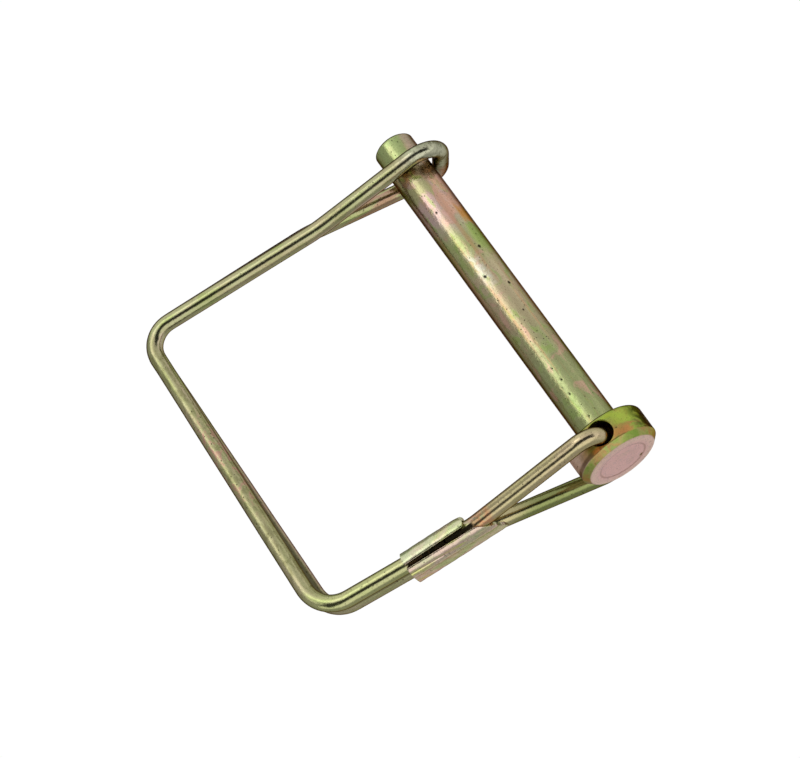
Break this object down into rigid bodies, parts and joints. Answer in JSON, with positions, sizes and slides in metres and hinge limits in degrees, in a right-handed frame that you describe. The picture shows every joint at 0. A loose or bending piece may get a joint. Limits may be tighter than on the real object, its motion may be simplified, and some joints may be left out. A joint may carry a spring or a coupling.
{
  "type": "hitch pin lock",
  "caption": "Headed steel lock pin whose doubled wire bail swings in the head's cross hole, spans a square window and snaps over the pin near its tip; a crimped ferrule closes the wire.",
  "frame": {"origin": "on the pin's axis at the underside of the head", "axes": "+X along the pin from the head to the tip, +Y towards the bail's far side, +Z along the head's cross hole"},
  "size_m": [0.0785, 0.0683, 0.0235],
  "materials": {
    "zinc_yellow_pin": "zinc plated with yellow chromate, olive and pink iridescence, satin",
    "zinc_yellow_wire": "zinc plated spring wire with yellow chromate, satin",
    "zinc_yellow_sheet": "zinc plated sheet with yellow chromate, satin"
  },
  "bodies": {
    "pin": {"lock_pin": "zinc_yellow_pin"},
    "bail": {"bail_wire": "zinc_yellow_wire", "ferrule": "zinc_yellow_sheet"},
    "latch": {"latch_loop": "zinc_yellow_wire"}
  },
  "joints": [
    {"name": "bail_swing", "type": "hinge", "parent": "pin", "child": "bail", "pos_m": [-0.00288, 0, 0], "axis": [0, 0, 1], "range_deg": [0, 180]},
    {"name": "latch_flex", "type": "hinge", "parent": "bail", "child": "latch", "pos_m": [0.064, 0.0603, 0], "axis": [0, 0, 1], "range_deg": [0, 10], "stiffness_Nm_per_rad": 14}
  ]
}
